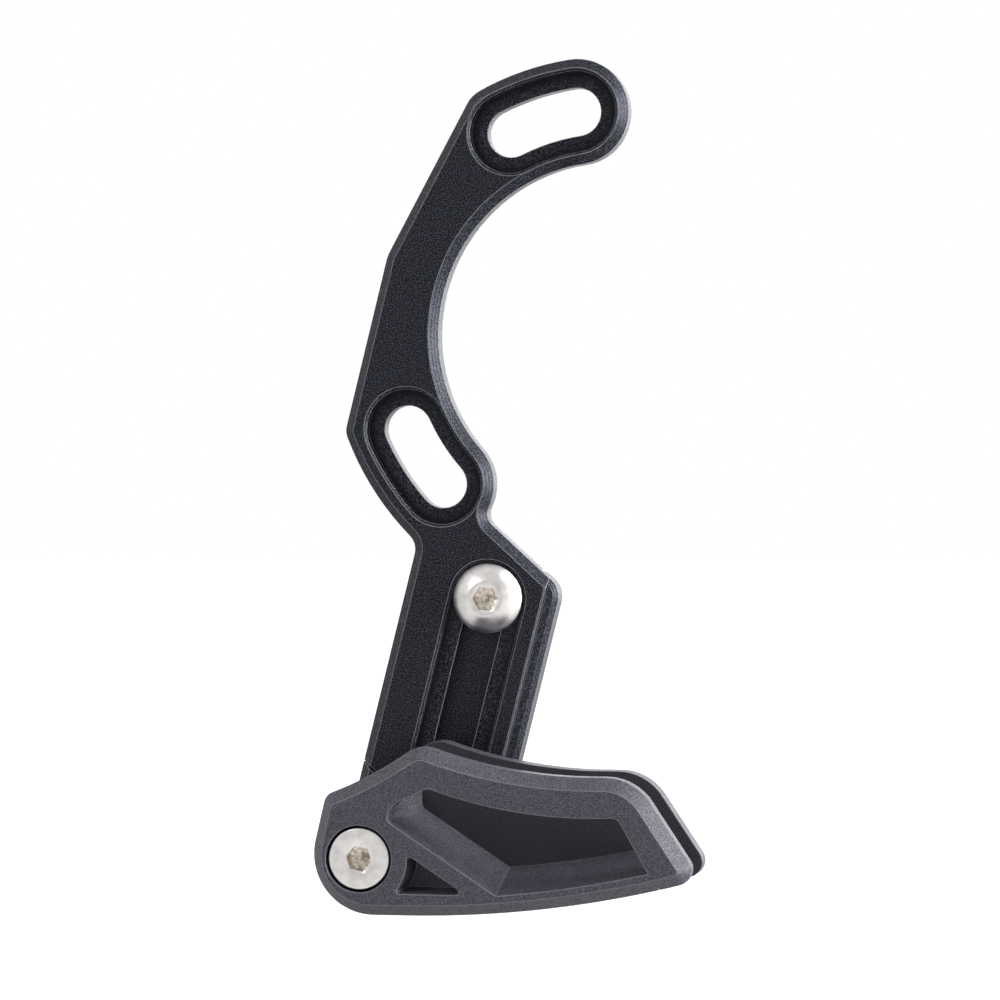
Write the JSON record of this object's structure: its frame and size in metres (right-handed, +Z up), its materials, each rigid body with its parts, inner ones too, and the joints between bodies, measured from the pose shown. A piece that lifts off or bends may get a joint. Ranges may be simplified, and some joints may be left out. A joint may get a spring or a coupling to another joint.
{
  "type": "bicycle chain guide",
  "caption": "Frame-tab chain guide: a machined plate with arc slots, a slider that moves along its tongue, and a moulded guide whose channel keeps the chain on the chainring.",
  "frame": {"origin": "on the bottom bracket axis, in the plane of the plate's back, which is the face that meets the frame's tabs", "axes": "+Z up, +X right as seen from outboard, -Y outboard, so +Y runs along the bottom bracket axis into the frame"},
  "size_m": [0.049, 0.0227, 0.1109],
  "materials": {
    "black_anodised_aluminium": "satin",
    "grey_nylon": "matte",
    "stainless_steel": "satin"
  },
  "bodies": {
    "plate": {"mounting_plate": "black_anodised_aluminium"},
    "carrier": {"slider": "black_anodised_aluminium", "chain_guide": "grey_nylon", "adjuster_bolt": "stainless_steel", "guide_bolt": "stainless_steel"}
  },
  "joints": [
    {"name": "height_slide", "type": "slide", "parent": "plate", "child": "carrier", "axis": [-0.2419, 0, -0.9703], "range_m": [0, 0.022]}
  ]
}
